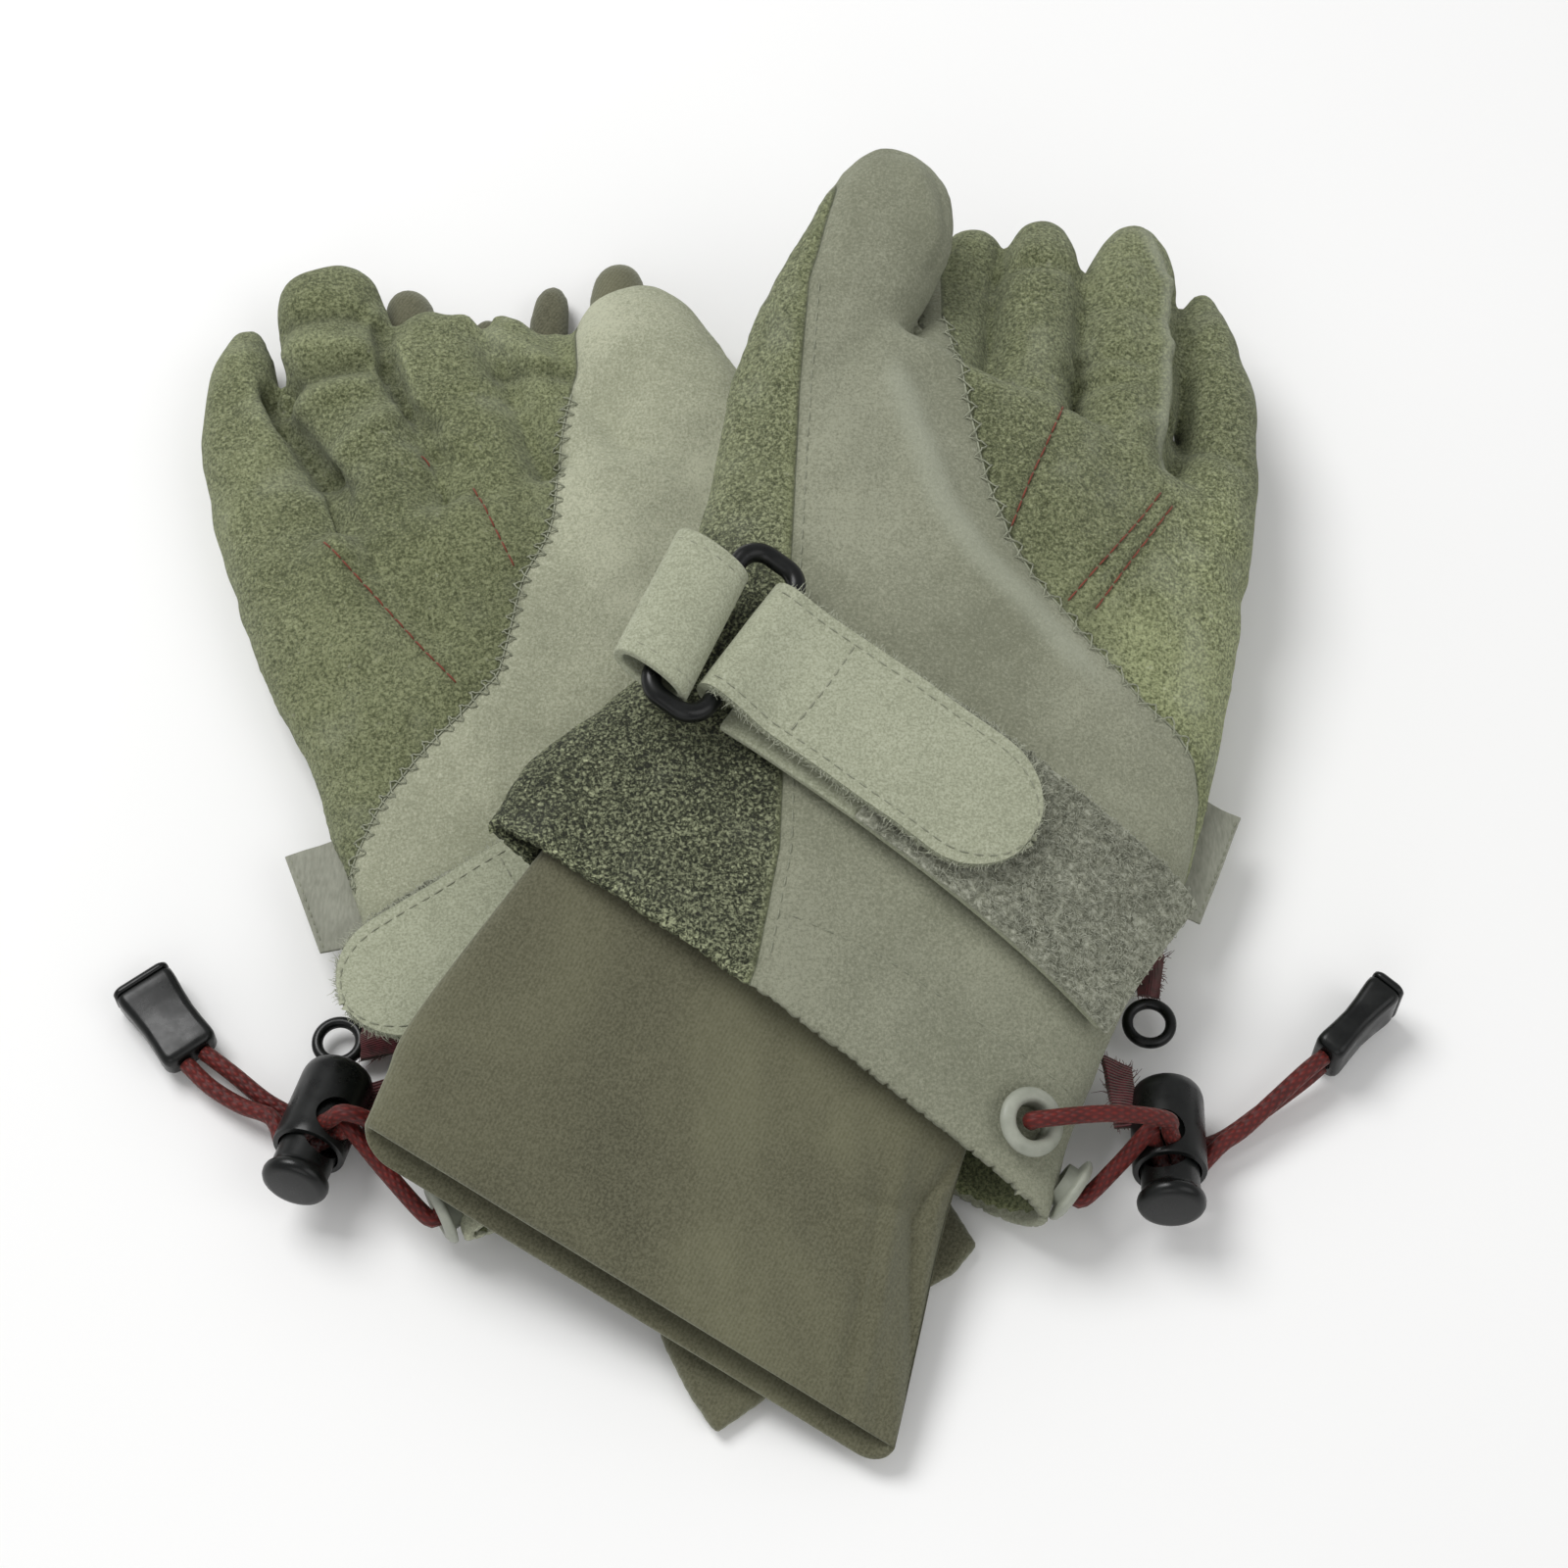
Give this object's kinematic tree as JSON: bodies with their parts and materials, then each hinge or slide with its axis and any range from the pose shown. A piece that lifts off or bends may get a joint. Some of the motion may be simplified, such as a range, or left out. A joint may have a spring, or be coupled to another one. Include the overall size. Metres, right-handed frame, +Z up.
{
  "type": "beekeeping gloves",
  "caption": "Crossed pair of suede gauntlet gloves with knit liners, ring-and-flap wrist straps, loop pile and elastic drawcords with push-button cord locks.",
  "frame": {"origin": "middle of the pair's box, on the surface it lies on", "axes": "+Z up, +Y towards the fingertips, +X towards the right of the pair as seen from the cuffs"},
  "size_m": [0.2493, 0.2696, 0.0656],
  "materials": {
    "rough_suede": "brushed rough suede, olive grey",
    "smooth_suede": "fine sanded nubuck, pale grey green",
    "strap_suede": "fine suede, pale grey green",
    "loop_pile": "dense loop pile",
    "knit_liner": "brushed jersey knit",
    "black_plastic": "satin moulded plastic",
    "red_elastic": "braided elastic cord",
    "maroon_webbing": "ribbed woven webbing",
    "label_tape": "plain woven tape",
    "grey_eyelet": "painted eyelet",
    "spring_steel": "bright wire"
  },
  "bodies": {
    "right_glove": {"right_back_shell": "rough_suede", "right_cord_end": "black_plastic", "right_cord_end_cap": "black_plastic", "right_cord_lower": "red_elastic", "right_cord_upper": "red_elastic", "right_eyelet_lower": "grey_eyelet", "right_eyelet_upper": "grey_eyelet", "right_index_finger": "rough_suede", "right_label": "label_tape", "right_little_finger": "rough_suede", "right_lock_barrel": "black_plastic", "right_lock_spring": "spring_steel", "right_lock_tab": "maroon_webbing", "right_middle_finger": "rough_suede", "right_palm_panel": "smooth_suede", "right_palm_shell": "rough_suede", "right_ring_finger": "rough_suede", "right_side_ring": "black_plastic", "right_side_tab": "maroon_webbing", "right_strap_base": "strap_suede", "right_strap_flap": "strap_suede", "right_strap_keeper": "strap_suede", "right_strap_pile": "loop_pile", "right_strap_ring": "black_plastic", "right_thumb": "smooth_suede"},
    "right_inner_glove": {"right_inner_glove": "knit_liner"},
    "right_lock_plunger": {"right_lock_plunger": "black_plastic"},
    "left_glove": {"left_back_shell": "rough_suede", "left_cord_end": "black_plastic", "left_cord_end_cap": "black_plastic", "left_cord_lower": "red_elastic", "left_cord_upper": "red_elastic", "left_eyelet_lower": "grey_eyelet", "left_eyelet_upper": "grey_eyelet", "left_index_finger": "rough_suede", "left_inner_cuff": "knit_liner", "left_label": "label_tape", "left_little_finger": "rough_suede", "left_lock_barrel": "black_plastic", "left_lock_spring": "spring_steel", "left_lock_tab": "maroon_webbing", "left_middle_finger": "rough_suede", "left_palm_panel": "smooth_suede", "left_palm_shell": "rough_suede", "left_ring_finger": "rough_suede", "left_side_ring": "black_plastic", "left_side_tab": "maroon_webbing", "left_strap_base": "strap_suede", "left_strap_keeper": "strap_suede", "left_strap_pile": "loop_pile", "left_thumb": "smooth_suede"},
    "left_strap_ring": {"left_strap_ring": "black_plastic"},
    "left_strap_flap": {"left_strap_flap": "strap_suede"},
    "left_lock_plunger": {"left_lock_plunger": "black_plastic"}
  },
  "joints": [
    {"name": "left_glove_lift", "type": "slide", "parent": "right_glove", "child": "left_glove", "axis": [0, 0, 1], "range_m": [0, 0.25]},
    {"name": "right_inner_glove_pull", "type": "slide", "parent": "right_glove", "child": "right_inner_glove", "axis": [0.309, -0.9511, 0], "range_m": [0, 0.2]},
    {"name": "left_strap_ring_tilt", "type": "hinge", "parent": "left_glove", "child": "left_strap_ring", "pos_m": [-0.00339, 0.00855, 0.06059], "axis": [-0.5327, -0.8454, 0.0383], "range_deg": [0, 12]},
    {"name": "left_strap_flap_lift", "type": "hinge", "parent": "left_strap_ring", "child": "left_strap_flap", "pos_m": [0.00644, 0.00221, 0.05749], "axis": [-0.5327, -0.8454, 0.0383], "range_deg": [0, 100]},
    {"name": "left_lock_press", "type": "slide", "parent": "left_glove", "child": "left_lock_plunger", "axis": [0.0427, 0.9772, -0.2079], "range_m": [0, 0.0035], "stiffness_N_per_m": 400, "springref_m": -0.005, "deforming": ["left_lock_spring"]},
    {"name": "right_lock_press", "type": "slide", "parent": "right_glove", "child": "right_lock_plunger", "axis": [0.2449, 0.947, -0.2079], "range_m": [0, 0.0035], "stiffness_N_per_m": 400, "springref_m": -0.005, "deforming": ["right_lock_spring"]}
  ]
}
